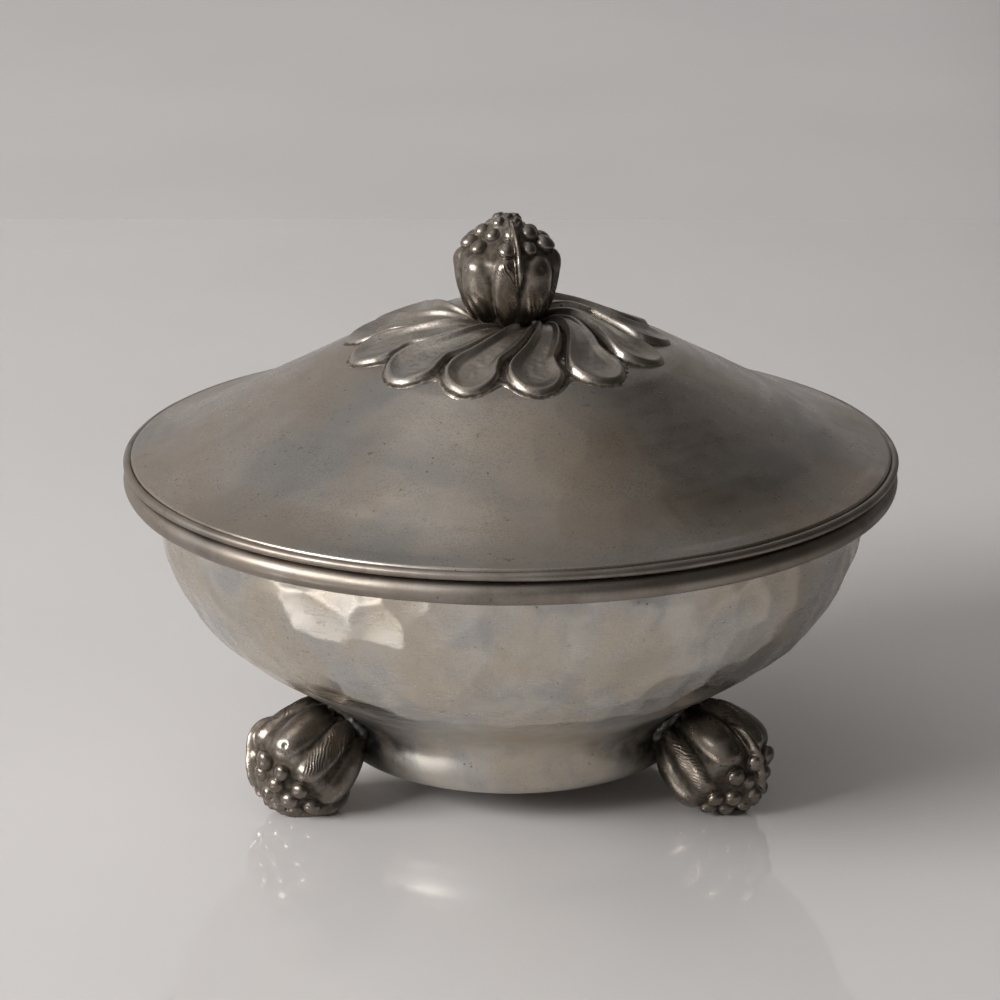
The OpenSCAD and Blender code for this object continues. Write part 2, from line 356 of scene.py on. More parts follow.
class Egg:
    """An egg-shaped swelling in a bud: its middle, the directions of its axes, and half its size on each."""

    def __init__(self, turn, out, height, lean, across, thick, along):
        """Turn is an angle round the bud, and lean is how far the top tips outward, both in degrees."""
        turn, lean = math.radians(turn), math.radians(lean)
        outward = np.array([math.cos(turn), math.sin(turn), 0])
        upward = np.array([0, 0, 1.0])
        axis = math.sin(lean) * outward + math.cos(lean) * upward
        self.axes = np.array([[-math.sin(turn), math.cos(turn), 0],
                              math.cos(lean) * outward - math.sin(lean) * upward, axis])
        self.half = np.array([across, thick, along])
        self.middle = out * outward + (height - BUD_MIDDLE) * upward

    def reach(self, rays):
        """How far a ray from the bud's middle goes before it leaves the egg. Beside the egg it falls off."""
        steepness = 3
        p = rays @ self.axes.T / self.half
        q = self.axes @ self.middle / self.half
        pp, pq = (p * p).sum(-1), p @ q
        inside = pq ** 2 - pp * (q @ q - 1)
        root = np.sqrt(np.abs(inside))
        return np.where(inside > 0, pq + root, pq - steepness * root) / pp

    def place(self, rays, reach):
        """Where a ray leaves, in the egg's own coordinates: across, out and along, each from -1 to 1."""
        return (rays * reach[..., None] - self.middle) @ self.axes.T / self.half


def soft_max(values, softness):
    """The highest of several values, rounded where two are alike."""
    top = np.max(values, axis=0)
    return top + softness * np.log(sum(np.exp((v - top) / softness) for v in values))


def bud(seed, phase):
    """A cast bud along +Z with its stalk at the origin: four smooth petals, four hatched leaves between them,
    rings of beads above, a seam and a rough tip. Returns its points and how deep each lies in a crevice."""
    rings, sides = 260, 420
    pit_depth, hollow_depth = 0.2, 0.4
    hatch_depth, hatch_spacing = 0.075, 0.45
    softness, give = 0.12, 0.05
    random = np.random.default_rng(seed)
    fall = np.linspace(math.pi - 0.002, 0.002, rings)[:, None]
    turn = (np.arange(sides) * 2 * math.pi / sides)[None]
    rays = np.stack([np.sin(fall) * np.cos(turn), np.sin(fall) * np.sin(turn), np.cos(fall) + 0 * turn], -1)
    reaches = [Egg(0, **BUD_CORE).reach(rays)]
    for k in range(4):
        petal = Egg(phase + 45 + 90 * k + random.normal(0, 2), **BUD_PETAL)
        reach = petal.reach(rays)
        across, _, along = np.moveaxis(petal.place(rays, reach), -1, 0)
        pit = pit_depth * np.exp(-(((across + 0.2) / 0.13) ** 2 + ((along - 0.62) / 0.07) ** 2))
        reaches.append(reach - pit)
        leaf = Egg(phase + 90 * k + random.normal(0, 2), **BUD_LEAF)
        reach = leaf.reach(rays)
        across, _, along = np.moveaxis(leaf.place(rays, reach), -1, 0)
        rim = np.hypot(across, along)
        hollow = hollow_depth * smooth_step(np.hypot(across - 0.25, along * 0.9), 0.9, 0.4)
        strokes = across * 2.9 * 0.8 + along * 7 * 0.45 + 0.12 * ripple(rays * 10, 3, seed + k)
        hatch = hatch_depth * np.sin(2 * math.pi * strokes / hatch_spacing) * smooth_step(rim, 0.9, 0.6)
        reaches.append(reach - (hollow - hatch) * (np.abs(across) < 1))
    seam = phase + 15
    for height, out, count, size in BUD_BEADS:
        for k in range(count):
            r = size * random.uniform(0.85, 1.1)
            where = seam + 7 * count + (k + random.uniform(-0.16, 0.16)) * 360 / count
            lift = random.uniform(-0.35, 0.35)
            bead = Egg(where, out + random.uniform(-0.2, 0.2), height + lift, 0, r, r, r)
            reaches.append(bead.reach(rays))
    for side in (0, 180):
        reaches.append(Egg(seam + side, **BUD_SEAM).reach(rays))
    reach = soft_max(reaches, softness)

    # Each ring is scaled to the bud's half width there, and what still sticks out is pressed in.
    widths = np.array(BUD_HALF_WIDTHS)
    angles = np.arctan2(widths[:, 1], widths[:, 0] - BUD_MIDDLE)
    limit = np.interp(-fall[:, 0], -angles, np.hypot(widths[:, 1], widths[:, 0] - BUD_MIDDLE))
    half_window = 22
    window = np.hanning(2 * half_window + 3)[1:-1]
    fit = np.pad(limit / np.quantile(reach, 0.96, axis=1), half_window, mode="edge")
    reach = reach * np.convolve(fit, window / window.sum(), "valid")[:, None]
    crevice = smooth_step(limit[:, None] - reach, 0.5, 1.8)
    excess = np.maximum(reach / limit[:, None] - 1, 0)
    reach = np.minimum(reach, limit[:, None]) + limit[:, None] * give * np.tanh(excess / give)
    tip = smooth_step(fall, 0.75, 0.2)
    points = rays * reach[..., None]
    rough = 0.03 * ripple(points, 5, seed + 9) + 0.06 * tip * ripple(points, 1.3, seed + 10)
    points = points * (1 + rough / 10)[..., None]
    return points + [0, 0, BUD_MIDDLE], crevice


def foot_matrix(angle):
    """Places a bud at a foot, with its stalk in the side of the bowl."""
    place = Matrix.Rotation(math.radians(angle), 4, "Z")
    place @= Matrix.Translation((FOOT_ROOT_R, 0, FOOT_ROOT_H))
    place @= Matrix.Rotation(math.radians(90 + FOOT_DROOP), 4, "Y")
    return np.array(place @ Matrix.Scale(FOOT_SCALE, 4))


def placed(grid, matrix):
    """Points moved by a matrix."""
    return grid @ matrix[:3, :3].T + matrix[:3, 3]


def kept_out_of_bowl(grid, into=0.4):
    """Points with those that would lie inside the bowl moved out into its wall."""
    radius = np.hypot(grid[..., 0], grid[..., 1])
    least = bowl_radius(grid[..., 2]) - into
    factor = np.where(radius < least, least / np.maximum(radius, 1e-6), 1)
    return grid * np.stack([factor, factor, np.ones_like(factor)], -1)


def foot(node, phase, seed, material):
    """A bud under the bowl, filed flat where it stands."""
    points, crevice = bud(seed, phase)
    grid = kept_out_of_bowl(placed(points, foot_matrix(FOOT_ANGLES[node])))
    grid[..., 2] = np.maximum(grid[..., 2], 0)
    settle(make("bud_" + node, grid, crevice=crevice), material, "bowl", "cast_pewter", node)


def foot_solder(material):
    """Lumpy solder round the stalks, joined as one piece."""
    spacing, sides = 0.25, 160
    ring_r, ring_h, section = 5.6, 0.4, 0.9
    made = []
    for seed, angle in enumerate(FOOT_ANGLES.values()):
        outline = evenly(arc([ring_r, ring_h], section, 0, 360, 40)[:-1], spacing, closed=True)
        grid, normals = turned(outline, sides), turned_normals(outline, sides, closed=True)
        lumps = 0.22 * ripple(grid, 4, 60 + seed) + 0.08 * ripple(grid, 1.6, 70 + seed)
        grid = grid + lumps[..., None] * normals
        grid = kept_out_of_bowl(placed(grid, foot_matrix(angle)), 0.3)
        made.append(make(f"solder_{seed}", grid, True))
    bpy.ops.object.select_all(action="DESELECT")
    for piece in made:
        piece.select_set(True)
    bpy.context.view_layer.objects.active = made[0]
    bpy.ops.object.join()
    made[0].name = "solder_runs"
    settle(made[0], material, "bowl", "solder", "foot_solder")


def bud_finial(material):
    """The bud on top of the lid, a little wider than the feet and left of the middle."""
    width, left = 1.03, 0.7
    points, crevice = bud(seed=31, phase=-91)
    grid = points * [width, width, 1] + [-left, 0, CROWN_H]
    settle(make("bud_on_lid", grid, crevice=crevice), material, "lid", "cast_pewter", "bud_finial")


# ---- lid ----

def lid_dome(material):
    """The spun dome, planished so lightly that only its reflections waver."""
    spacing, sides = 0.6, 720
    mark, depth, hole = 9.5, 0.03, 1.9
    under_collar = 20
    top = evenly(LID_OUTSIDE, spacing)
    top = top[top[:, 0] > hole]
    under = evenly(shifted(LID_OUTSIDE, -LID_WALL)[::-1], 2 * spacing)
    under = under[under[:, 0] > hole]
    outline = np.vstack([under, top])
    grid, normals = turned(outline, sides), turned_normals(outline, sides, closed=True)
    marks = hammer_marks(top, mark, 1, distance_along(top)[-1] - under_collar, seed=11)
    is_top = (np.arange(len(outline)) >= len(under)) & (outline[:, 0] < RIM_R - 4)
    dents = hammered(grid, marks, mark, depth, seed=12) * is_top[:, None]
    push = dents + 0.03 * ripple(grid, 34, 13) * is_top[:, None]
    grid = grid + push[..., None] * normals
    settle(make("lid_dome_sheet", grid, True), material, "lid", "satin_pewter", "lid_dome")


def lid_edge_wire(material):
    """The thin wire round the lid's edge."""
    outline = arc([RIM_R - EDGE_WIRE_R, LID_H + EDGE_WIRE_R], EDGE_WIRE_R, 0, 360, 25)[:-1]
    sides = 720
    grid, normals = turned(outline, sides), turned_normals(outline, sides, closed=True)
    grid = grid + (0.02 * ripple(grid, 22, 14) - 0.02)[..., None] * normals
    settle(make("lid_edge_bead", grid, True), material, "lid", "wire_pewter", "lid_edge_wire")


def lid_bezel(material):
    """The ring that centres the lid, with its lower edge rounded."""
    wall, nose, spacing, sides = 1.0, 0.5, 0.25, 360
    under = shifted(LID_OUTSIDE, -LID_WALL)[::-1]
    top_out, top_in = (np.interp(r, under[:, 0], under[:, 1]) for r in (BEZEL_R, BEZEL_R - wall))
    outline = np.vstack([
        arc([BEZEL_R - nose, BEZEL_H + nose], nose, 180, 360, 12),
        [[BEZEL_R, top_out], [BEZEL_R - wall, top_in]],
    ])
    grid = turned(evenly(outline, spacing, closed=True), sides)
    settle(make("lid_centring_ring", grid, True), material, "lid", "satin_pewter", "lid_bezel")


# ---- leaf collar ----

LEAVES = 13
LEAF_STEP = 360 / LEAVES
COLLAR_R = 30.4
SPOON_R = 5.3


def leaf_swirl(radius):
    """Angle by which a stem at a radius leads its leaf's end, in degrees."""
    return 26 * (np.clip(24 - radius, 0, None) / 12) ** 1.5


def knots(value, places, heights):
    """A smooth line through knots, level at each turning point."""
    places, heights = np.array(places, float), np.array(heights, float)
    slopes = np.diff(heights) / np.diff(places)
    tangents = np.zeros(len(places))
    same = slopes[1:] * slopes[:-1] > 0
    tangents[1:-1][same] = (2 * slopes[1:] * slopes[:-1] / (slopes[1:] + slopes[:-1] + 1e-12))[same]
    k = np.clip(np.searchsorted(places, value) - 1, 0, len(places) - 2)
    width = (places[1:] - places[:-1])[k]
    t = np.clip((value - places[k]) / width, 0, 1)
    return (heights[k] * (1 + 2 * t) * (1 - t) ** 2 + tangents[k] * width * t * (1 - t) ** 2
            + heights[k + 1] * t * t * (3 - 2 * t) + tangents[k + 1] * width * t * t * (t - 1))


def collar_crest(radius):
    """Height of the leaves' rims above the lid: a ridge round the bud that falls away outward."""
    return knots(radius, [2, 6, 9, 12.5, 18, 24, 28, 31, 34], [-1.2, 0.6, 2.5, 3.3, 2.7, 1.75, 1.4, 1.1, 0.9])


def leaf_depth(radius):
    """Height of a leaf's rim above the valley beside it."""
    return knots(radius, [2, 8, 14, 20, 26, 31], [0.6, 1.3, 1.75, 1.75, 1.4, 1.0])


def leaf_collar(material):
    """Thirteen spoon-shaped leaves that swirl out from the bud, each hollow between rolled edges."""
    rows, sides = 150, LEAVES * 60
    first_end = 12  # degrees from the front
    squeeze, left = 0.97, 0.5
    waist_r, waist_length, waist_share = 20.8, 2.0, 0.20
    stem_end, spoon_start = 16, 22.5
    softness = 1.1
    bedding, sheet = 0.75, 0.2
    radius = np.linspace(2.2, COLLAR_R + 1.6, rows)
    turn = np.degrees(np.arange(sides) * 2 * math.pi / sides)
    r, azimuth = np.meshgrid(radius, turn, indexing="ij")
    sway = 0.5 * np.sin(np.radians(azimuth * 3 + 40)) + 0.4 * np.sin(np.radians(azimuth * 5 + 10))
    phase = (azimuth + sway - first_end - leaf_swirl(r)) / LEAF_STEP
    spoon_middle = COLLAR_R - SPOON_R
    waist = 1 - waist_share * np.exp(-((r - waist_r) / waist_length) ** 2)
    full_half = np.minimum(0.435 * 2 * math.pi * r / LEAVES, SPOON_R)
    spoon = smooth_step(r, stem_end, spoon_start)
    relief = np.full(r.shape, -9.0)
    beside = np.zeros(r.shape)
    for side in (-1, 0, 1):  # the leaf that a point is in, and the leaves beside it
        from_middle = phase - np.round(phase) + side
        u = from_middle * np.radians(LEAF_STEP) * r / (full_half * np.where(from_middle > 0, waist, 1))
        past = np.maximum(0, r - spoon_middle) / SPOON_R
        t = np.hypot(u, past)
        hollow = knots(t, [0, 0.45, 0.7, 0.88, 0.97, 1.06, 1.4], [0.30, 0.42, 0.72, 1.0, 0.72, 0.0, -0.7])
        stem = knots(u, [-1.3, -1.0, -0.78, -0.4, 0.3, 0.78, 1.02, 1.3],
                     [-0.6, 0.2, 1.0, 0.5, 0.42, 0.78, 0.0, -0.6])
        lean = 1 - 0.17 * np.clip(u, -1, 1)
        leaf = (spoon * hollow + (1 - spoon) * stem) * np.where(hollow > 0, lean, 1)
        relief = np.maximum(relief, leaf)
        beside += np.exp(-(t - 1) * SPOON_R / softness)
    height = collar_crest(r) - leaf_depth(r) * (1 - relief)

    # A thin flange follows the leaves' ends, and drops into the lid beyond its scalloped edge.
    flange = -softness * np.log(beside)
    valley = 0.22 - 1.1 * smooth_step(flange, 0.75, 1.25) * (r > 24)
    height = np.maximum(height, np.minimum(valley, collar_crest(r) - 0.5))
    crevice = smooth_step(relief, 0.5, 0.0) * smooth_step(flange, 1.0, 0.4)

    angle = np.radians(azimuth)
    x, y = squeeze * r * np.sin(angle) - left, -r * np.cos(angle)
    buried = lid_height(np.hypot(x, y)) - bedding
    top = np.stack([x, y, lid_height(r) + height], -1)
    top[..., 2] += 0.10 * crevice * ripple(top, 1.8, 21) + 0.05 * ripple(top, 9, 22)
    top[..., 2] = np.maximum(top[..., 2], buried + sheet)
    under = np.stack([x, y, buried], -1)[::-8]  # hidden, so it has fewer rows
    grid = np.concatenate([under, top])[:, ::-1]
    crevice = np.concatenate([np.zeros(under.shape[:2]), crevice])[:, ::-1]
    piece = make("leaf_rosette", grid, True, crevice=crevice)
    settle(piece, material, "lid", "cast_pewter", "leaf_collar")


# ---- lid fixing ----

def finial_stud(material):
    """A turned stud with the rings of a coarse thread at its lower end, and a chamfer below them."""
    radius, bottom, top = STUD_HIGH[0], STUD_LOW[2], STUD_HIGH[2]
    pitch, groove, pole_r, sides = 0.8, 0.16, 0.05, 64
    heights = np.arange(bottom, top, 0.1)
    thread = groove * (0.5 + 0.5 * np.cos(2 * math.pi * heights / pitch)) * (heights < WASHER_LOW[2] + 1)
    barrel = np.stack([radius - thread, heights], 1)
    outline = np.vstack([
        [[pole_r, bottom], [radius - 0.5, bottom]],
        barrel[4:],  # the chamfer takes the place of the first few
        [[radius - 0.2, top], [pole_r, top]],
    ])
    settle(make("finial_screw", turned(outline, sides)), material, "lid", "brass", "finial_stud")


def finial_washer(material):
    """A flat washer with its edges broken."""
    spacing, sides = 0.2, 96
    inner, outer, broken = STUD_HIGH[0], WASHER_HIGH[0], 0.15
    bottom, top = WASHER_LOW[2], WASHER_HIGH[2]
    outline = np.array([
        [inner, bottom + broken], [inner + broken, bottom],
        [outer - broken, bottom], [outer, bottom + broken],
        [outer, top - broken], [outer - broken, top],
        [inner + broken, top], [inner, top - broken],
    ])
    grid = turned(evenly(outline, spacing, closed=True), sides)
    settle(make("washer_ring", grid, True), material, "lid", "brass", "finial_washer")


def finial_nut(material):
    """A hexagon nut with chamfered corners."""
    bore, corner, flat = STUD_HIGH[0], NUT_HIGH[0], NUT_HIGH[1]
    bottom, top = NUT_LOW[2], NUT_HIGH[2]
    spacing, sides = 0.15, 180
    outline = np.array([[bore, bottom], [corner, bottom], [corner, top], [bore, top]])
    grid = turned(evenly(outline, spacing, closed=True), sides)
    turn = np.arange(sides) * 2 * math.pi / sides
    hexagon = flat / np.cos((turn + math.pi / 6) % (math.pi / 3) - math.pi / 6)
    to_face = np.minimum(grid[..., 2] - bottom, top - grid[..., 2])
    chamfer = flat * 0.97 + 1.7 * to_face
    radius = np.hypot(grid[..., 0], grid[..., 1])
    limit = np.minimum(hexagon, chamfer)
    factor = np.minimum(1, limit / radius)
    grid = grid * np.stack([factor, factor, np.ones_like(factor)], -1)
    settle(make("hexagon_nut", grid, True), material, "lid", "brass", "finial_nut")


# ---- materials ----

class Nodes:
    """A short way to write a material's node tree."""

    def __init__(self, name):
        self.material = bpy.data.materials.new(name)
        self.material.use_nodes = True
        self.tree = self.material.node_tree
        self.shader = next(n for n in self.tree.nodes if n.type == "BSDF_PRINCIPLED")
        self.position = self.add("ShaderNodeTexCoord").outputs["Object"]

    def add(self, kind, inputs=None, **settings):
        """A new node with its settings made and its inputs linked or set."""
        node = self.tree.nodes.new(kind)
        for key, value in settings.items():
            setattr(node, key, value)
        for key, value in (inputs or {}).items():
            self.put(node.inputs[key], value)
        return node

    def put(self, socket, value):
        """Links an output to a socket, or sets it to a value."""
        if isinstance(value, bpy.types.NodeSocket):
            self.tree.links.new(value, socket)
        else:
            socket.default_value = value

    def along(self, axis):
        """The position along an axis, in metres."""
        return self.add("ShaderNodeSeparateXYZ", {"Vector": self.position}).outputs[axis]

    def noise(self, size, detail, stretch=(1, 1, 1), distortion=0.0):
        """Noise with features about size millimetres across, stretched along the axes."""
        where = self.add("ShaderNodeMapping", {"Vector": self.position, "Scale": [1 / s for s in stretch]})
        inputs = {
            "Vector": where.outputs[0], "Scale": 1000 / size, "Detail": detail, "Distortion": distortion,
        }
        return self.add("ShaderNodeTexNoise", inputs).outputs["Fac"]

    def cells(self, size):
        """Distance from scattered points about size millimetres apart."""
        inputs = {"Vector": self.position, "Scale": 1000 / size}
        return self.add("ShaderNodeTexVoronoi", inputs).outputs["Distance"]

    def between(self, value, low_in, high_in, low_out=0.0, high_out=1.0):
        """Maps a value smoothly from one range to another."""
        inputs = {
            "Value": value, "From Min": low_in, "From Max": high_in, "To Min": low_out, "To Max": high_out,
        }
        return self.add("ShaderNodeMapRange", inputs, interpolation_type="SMOOTHSTEP").outputs[0]

    def math(self, operation, first, second):
        """The result of a sum on two values."""
        node = self.add("ShaderNodeMath", operation=operation)
        self.put(node.inputs[0], first)
        self.put(node.inputs[1], second)
        return node.outputs[0]

    def mix(self, factor, first, second):
        """A colour between two others."""
        node = self.add("ShaderNodeMix", data_type="RGBA")
        self.put(node.inputs[0], factor)
        self.put(node.inputs[6], first)
        self.put(node.inputs[7], second)
        return node.outputs[2]

    def attribute(self, name):
        """What a mesh says at each point under a name."""
        return self.add("ShaderNodeAttribute", attribute_name=name).outputs["Fac"]

    def bump(self, height, distance, normal=None):
        """A normal tilted by a height of so many millimetres, on top of another normal if there is one."""
        inputs = {"Height": height, "Distance": distance * MM, "Strength": 1.0}
        if normal:
            inputs["Normal"] = normal
        return self.add("ShaderNodeBump", inputs).outputs[0]


def rgb(red, green, blue):
    """An opaque colour."""
    return (red, green, blue, 1)


DUST = rgb(0.17, 0.14, 0.11)
SPECKS = rgb(0.06, 0.052, 0.044)
DARK_DIRT = rgb(0.026, 0.021, 0.017)
TAN_DIRT = rgb(0.085, 0.067, 0.042)
# Blue-black soot, also the colour of the painted shade round the feet.
SOOT_AND_SHADE = rgb(0.024, 0.0245, 0.027)


def pewter(name, light, dark, tint, rough, blotch, brushed=1.0, specks=1.0, grain=0.3, layer=None):
    """Worn pewter: light metal with darker patches, tinted in broad clouds, finely brushed round the axis,
    with dark specks. Blotch is the size of the patches in millimetres. A layer of crevice dirt, or of soot
    from soldering that is darkened further as painted shade near the feet, is laid on where its attribute
    says."""
    m = Nodes(name)

    # Clouds, dust and specks
    patches = m.between(m.noise(blotch, 6, distortion=0.7), 0.38, 0.64)
    cloud = m.between(m.noise(blotch * 1.7, 4, stretch=(1, 1, 1.6), distortion=0.3), 0.42, 0.62)
    colour = m.mix(m.math("MULTIPLY", patches, 0.8), light, dark)
    colour = m.mix(m.math("MULTIPLY", cloud, 0.6), colour, tint)
    grains = m.between(m.noise(0.35, 2), 0.45, 0.65)
    dust = m.math("MULTIPLY", grains, m.between(m.noise(9, 4), 0.35, 0.65, 0.4, 1.0))
    colour = m.mix(m.math("MULTIPLY", dust, grain), colour, DUST)
    freckles = m.between(m.noise(1.1, 4), 0.36, 0.30)
    dots = m.between(m.cells(2.6), 0.10, 0.045)
    sparse = m.between(m.noise(8, 2), 0.46, 0.6)
    marks = m.math("MULTIPLY", m.math("MAXIMUM", m.math("MULTIPLY", freckles, 0.5), dots), sparse)
    marks = m.math("MULTIPLY", marks, 0.6 * specks)
    colour = m.mix(marks, colour, SPECKS)

    # Scratches round the axis, and a roughness that varies with them
    lines = m.noise(0.22, 3, stretch=(22, 22, 1))
    streaks = m.noise(1.0, 3, stretch=(16, 16, 1))
    fine = m.noise(0.3, 2)
    mottled = m.between(m.noise(6, 5), 0.3, 0.7, -0.03, 0.05)
    roughness = m.math("ADD", m.math("MULTIPLY", patches, 0.05), m.math("ADD", mottled, rough))
    roughness = m.math("ADD", roughness, m.between(streaks, 0.35, 0.7, -0.03 * brushed, 0.05 * brushed))
    roughness = m.math("ADD", roughness, m.math("MULTIPLY", marks, 0.3))
    height = m.math("ADD", m.math("MULTIPLY", lines, brushed), m.math("MULTIPLY", fine, 0.6))
    normal = m.bump(height, 0.003)

    if layer == "crevice":
        depth = m.attribute("crevice")
        rubbed = m.math("ADD", depth, m.math("MULTIPLY", m.math("SUBTRACT", m.noise(1.4, 5), 0.5), 0.8))
        normal = m.bump(m.noise(0.7, 5), 0.035, normal=normal)
        dirt = m.between(rubbed, 0.06, 0.8)
        tan = m.between(m.noise(1.0, 5), 0.35, 0.68)
        colour = m.mix(dirt, colour, m.mix(tan, DARK_DIRT, TAN_DIRT))
        roughness = m.math("ADD", roughness, m.math("MULTIPLY", dirt, 0.35))
        m.put(m.shader.inputs["Metallic"], m.math("SUBTRACT", 1.0, m.math("MULTIPLY", dirt, 0.7)))
    else:
        m.shader.inputs["Metallic"].default_value = 1
    # Soot round the feet, deepened into painted shade.
    if layer == "smoke":
        smoke = m.math("MULTIPLY", m.attribute("smoke"), m.between(m.noise(4, 4), 0.25, 0.6, 0.5, 1.0))
        colour = m.mix(smoke, colour, SOOT_AND_SHADE)
        lower = m.between(m.along("Z"), 0.032, 0.020, 0.0, 0.15)
        roughness = m.math("ADD", roughness, m.math("ADD", lower, m.math("MULTIPLY", smoke, 0.08)))
    m.put(m.shader.inputs["Base Color"], colour)
    m.put(m.shader.inputs["Roughness"], roughness)
    m.put(m.shader.inputs["Normal"], normal)
    return m.material


def brass():
    """Dull brass, browned in patches."""
    m = Nodes("dull_brass")
    patches = m.between(m.noise(2.5, 4), 0.35, 0.65)
    m.put(m.shader.inputs["Base Color"], m.mix(patches, rgb(0.55, 0.40, 0.17), rgb(0.30, 0.20, 0.09)))
    m.put(m.shader.inputs["Roughness"], m.between(m.noise(1.2, 3), 0.3, 0.7, 0.28, 0.5))
    m.put(m.shader.inputs["Normal"], m.bump(m.noise(0.3, 2, stretch=(6, 6, 1)), 0.008))
    m.shader.inputs["Metallic"].default_value = 1
    return m.material


# ---- stage ----

def strip(name, line, half, material):
    """A sheet across the scene that follows a line of depths and heights."""
    points = [(x, y, z) for y, z in line for x in (-half, half)]
    faces = [(2 * i, 2 * i + 1, 2 * i + 3, 2 * i + 2) for i in range(len(line) - 1)]
    mesh = bpy.data.meshes.new(name)
    mesh.from_pydata(points, [], faces)
    mesh.materials.append(material)
    sheet = bpy.data.objects.new(name, mesh)
    bpy.context.scene.collection.objects.link(sheet)
    return sheet


def painted_shade_to_the_right(m, grey, start, end):
    """Paints shade into a surface's grey: it darkens away from the window, between two distances in metres."""
    shade = rgb(0.05, 0.045, 0.04)
    m.put(m.shader.inputs["Base Color"], m.mix(m.between(m.along("X"), start, end, 0.0, 0.5), grey, shade))


def paper(name, tone):
    """Matt grey paper with painted shade towards the right. Its tone makes it lighter or darker: painted light
    where one paper is laid down twice.
    """
    m = Nodes(name)
    light, dark = (0.485, 0.472, 0.467), (0.465, 0.455, 0.452)
    light, dark = (rgb(*(tone * part for part in colour)) for colour in (light, dark))
    # Painted shade: the paper darkens to the right, away from the window.
    painted_shade_to_the_right(m, m.mix(m.between(m.noise(120, 2), 0.3, 0.7), light, dark), 0.12, 0.26)
    m.shader.inputs["Roughness"].default_value = 0.9
    m.shader.inputs["Specular IOR Level"].default_value = 0.1
    return m.material


def table_and_backdrop():
    """A glossy pale table with paper lying beyond it, and an upright card of the same paper that shows only
    in reflections. All of them have shade painted in, darker away from the window."""
    front, back, far, top = -6, 0.410, 6, 0.41
    half, card_half = 6, 2.2
    m = Nodes("pale_table")
    light, dark = rgb(0.605, 0.589, 0.579), rgb(0.585, 0.569, 0.559)
    # Painted shade: the table darkens to the right, away from the window.
    painted_shade_to_the_right(m, m.mix(m.between(m.noise(90, 3), 0.3, 0.7), light, dark), 0.11, 0.24)
    m.shader.inputs["Roughness"].default_value = 0.05
    strip("table", [(front, 0), (back, 0)], half, m.material)
    # Painted light: the lying paper is the card's paper made 1.44 times lighter, a lit copy of one material.
    strip("paper", [(back, 0), (far, 0)], half, paper("lying_paper_painted_lighter", 1.44))
    card = strip("card", [(back, 0), (back, top)], card_half, paper("upright_paper", 1))
    card.visible_camera = card.visible_shadow = False


def room():
    """A dim room that is brighter on the window's side and overhead."""
    world = bpy.data.worlds.new("room")
    bpy.context.scene.world = world
    world.use_nodes = True
    tree = world.node_tree
    where = tree.nodes.new("ShaderNodeTexCoord").outputs["Generated"]
    split = tree.nodes.new("ShaderNodeSeparateXYZ")
    tree.links.new(where, split.inputs[0])

    def ramp(axis, low_in, stops):
        """A colour that changes along an axis, through stops of place, red, green and blue."""
        spread = tree.nodes.new("ShaderNodeMapRange")
        spread.inputs["From Min"].default_value = low_in
        tree.links.new(split.outputs[axis], spread.inputs["Value"])
        colours = tree.nodes.new("ShaderNodeValToRGB")
        colours.color_ramp.interpolation = "EASE"
        while len(colours.color_ramp.elements) < len(stops):
            colours.color_ramp.elements.new(0.5)
        for element, (place, red, green, blue) in zip(colours.color_ramp.elements, stops):
            element.position = place
            element.color = (red, green, blue, 1)
        tree.links.new(spread.outputs[0], colours.inputs["Fac"])
        return colours.outputs["Color"]

    across = ramp("X", -1, [
        (0.0, 0.90, 0.88, 0.86), (0.33, 0.86, 0.84, 0.82), (0.42, 0.67, 0.655, 0.64),
        (0.50, 0.52, 0.505, 0.49), (0.565, 0.40, 0.385, 0.37), (0.635, 0.22, 0.205, 0.19),
        (0.72, 0.13, 0.12, 0.108), (1.0, 0.085, 0.077, 0.07),
    ])
    upward = ramp("Z", 0, [
        (0.0, 0.62, 0.62, 0.62), (0.74, 0.60, 0.62, 0.65), (0.81, 0.62, 0.64, 0.67),
        (0.87, 1.12, 1.12, 1.12),
    ])
    both = tree.nodes.new("ShaderNodeMix")
    both.data_type, both.blend_type = "RGBA", "MULTIPLY"
    both.inputs[0].default_value = 1
    tree.links.new(across, both.inputs[6])
    tree.links.new(upward, both.inputs[7])
    background = next(n for n in tree.nodes if n.type == "BACKGROUND")
    tree.links.new(both.outputs[2], background.inputs["Color"])


def lamp(name, azimuth, elevation, width, power, colour, mirrored=True, lights=True):
    """A soft panel that faces the object. Azimuth 0 is the camera's side and grows to the right.
    It may be left out of reflections, or show only in them."""
    distance, height, aim = 1.5, 0.5, Vector((0, 0, 0.04))
    a, e = math.radians(azimuth), math.radians(elevation)
    way = Vector((math.sin(a) * math.cos(e), -math.cos(a) * math.cos(e), math.sin(e)))
    light = bpy.data.lights.new(name, "AREA")
    light.shape, light.size, light.size_y = "RECTANGLE", width, height
    light.energy, light.color = power, colour
    panel = bpy.data.objects.new(name, light)
    panel.location = way * distance + aim
    panel.rotation_euler = way.to_track_quat("Z", "Y").to_euler()
    panel.visible_glossy, panel.visible_diffuse = mirrored, lights
    bpy.context.scene.collection.objects.link(panel)


def camera():
    """The camera, in front of the object and a little above it, aimed a little left of its middle."""
    aim, distance, elevation = Vector((-1.96, 0, 51.46)) * MM, 0.8, math.radians(17.9)
    way = Vector((0, -math.cos(elevation), math.sin(elevation)))
    data = bpy.data.cameras.new("camera")
    data.lens, data.sensor_width = 158.5, 36
    eye = bpy.data.objects.new("camera", data)
    eye.location = aim + way * distance
    eye.rotation_euler = way.to_track_quat("Z", "Y").to_euler()
    bpy.context.scene.collection.objects.link(eye)
    bpy.context.scene.camera = eye


# ---- the whole ----

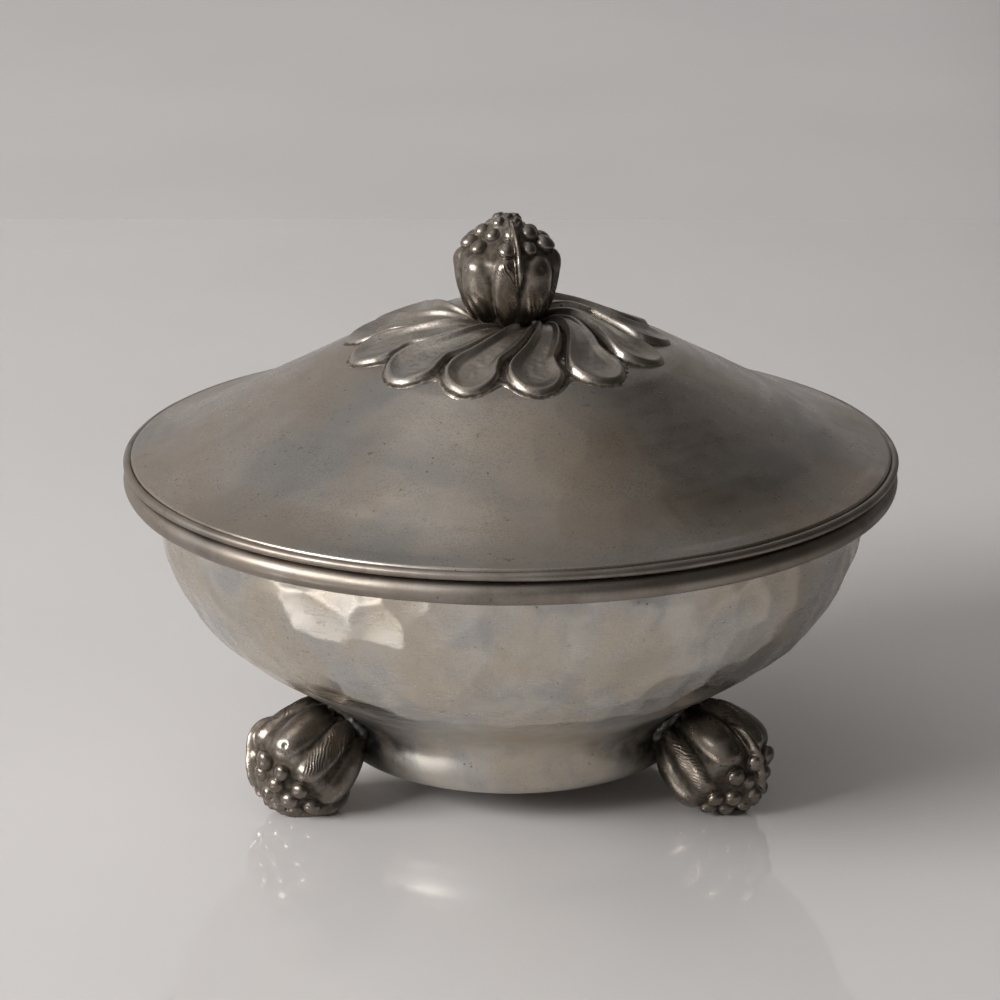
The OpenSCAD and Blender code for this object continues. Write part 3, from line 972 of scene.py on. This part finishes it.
camera()
room()
table_and_backdrop()
lamp("window", -63, 26, width=0.95, power=29, colour=(1, 0.985, 0.975), mirrored=False)
lamp("window_seen", -60, 26, width=0.9, power=23, colour=(1, 0.975, 0.95), lights=False)

hammered_metal = pewter(
    "hammered_pewter", rgb(0.57, 0.54, 0.495), rgb(0.43, 0.425, 0.42), rgb(0.54, 0.463, 0.362),
    rough=0.22, blotch=8, grain=0.15, layer="smoke")
dome_metal = pewter(
    "dome_pewter", rgb(0.40, 0.362, 0.323), rgb(0.30, 0.288, 0.27), rgb(0.365, 0.295, 0.23),
    rough=0.28, blotch=20, brushed=0.6, specks=1.3, grain=0.35)
wire_metal = pewter(
    "wire_pewter", rgb(0.31, 0.28, 0.25), rgb(0.21, 0.185, 0.16), rgb(0.27, 0.23, 0.185),
    rough=0.41, blotch=9)
cast_metal = pewter(
    "cast_pewter", rgb(0.31, 0.28, 0.245), rgb(0.15, 0.13, 0.11), rgb(0.22, 0.185, 0.145),
    rough=0.25, blotch=4, brushed=0.2, specks=2.2, grain=0.75, layer="crevice")
leaf_metal = pewter(
    "leaf_pewter", rgb(0.38, 0.35, 0.315), rgb(0.25, 0.225, 0.20), rgb(0.32, 0.28, 0.235),
    rough=0.31, blotch=7, brushed=0.3, specks=1.6, grain=0.5, layer="crevice")
solder_metal = pewter(
    "solder", rgb(0.13, 0.126, 0.122), rgb(0.045, 0.043, 0.041), rgb(0.10, 0.095, 0.088),
    rough=0.42, blotch=3, brushed=0.1)
brass_metal = brass()

bowl_body(hammered_metal)
bowl_rim_wire(wire_metal)
for node, phase, seed in (("foot_front_left", 18, 41), ("foot_front_right", 0, 42), ("foot_rear", 30, 43)):
    foot(node, phase, seed, cast_metal)
foot_solder(solder_metal)
lid_dome(dome_metal)
lid_edge_wire(wire_metal)
lid_bezel(dome_metal)
leaf_collar(leaf_metal)
bud_finial(cast_metal)
finial_stud(brass_metal)
finial_washer(brass_metal)
finial_nut(brass_metal)

bpy.context.scene.view_settings.view_transform = "Standard"
